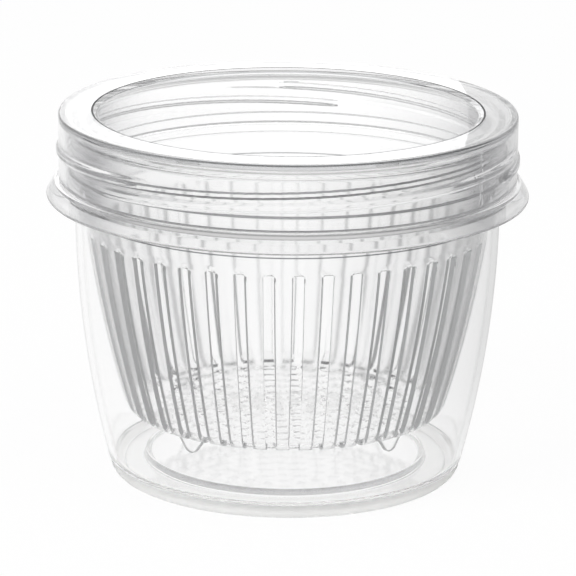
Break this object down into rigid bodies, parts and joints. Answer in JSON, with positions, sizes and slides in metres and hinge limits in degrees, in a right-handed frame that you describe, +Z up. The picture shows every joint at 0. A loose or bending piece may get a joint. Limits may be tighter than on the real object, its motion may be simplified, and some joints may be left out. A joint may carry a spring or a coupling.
{
  "type": "herb keeper",
  "caption": "Clear tapered canister with a flanged threaded neck, a slotted basket that hangs from its rim, and a recessed screw lid with a seal ring.",
  "frame": {"origin": "centre of the foot ring, on the surface the keeper stands on", "axes": "+Z up along the keeper's axis, -Y to the front"},
  "size_m": [0.1052, 0.1052, 0.081],
  "materials": {
    "container_plastic": "colourless clear moulded plastic, polished",
    "basket_plastic": "colourless clear moulded plastic, polished",
    "seal_silicone": "colourless translucent silicone, smooth",
    "lid_plastic": "colourless clear moulded plastic, polished"
  },
  "bodies": {
    "container": {"container": "container_plastic"},
    "basket": {"basket": "basket_plastic"},
    "seal_ring": {"seal_ring": "seal_silicone"},
    "lid": {"lid": "lid_plastic"}
  },
  "joints": [
    {"name": "basket_lift", "type": "slide", "parent": "container", "child": "basket", "axis": [0, 0, 1], "range_m": [0, 0.07]},
    {"name": "lid_rise", "type": "slide", "parent": "basket", "child": "seal_ring", "axis": [0, 0, 1], "range_m": [0, 0.0128]},
    {"name": "lid_turn", "type": "hinge", "parent": "seal_ring", "child": "lid", "pos_m": [0, 0, 0.0735], "axis": [0, 0, 1], "range_deg": [0, 450]}
  ],
  "couplings": [
    {"joint": "lid_rise", "follows": "lid_turn", "m_per_rad": 0.0016234}
  ]
}
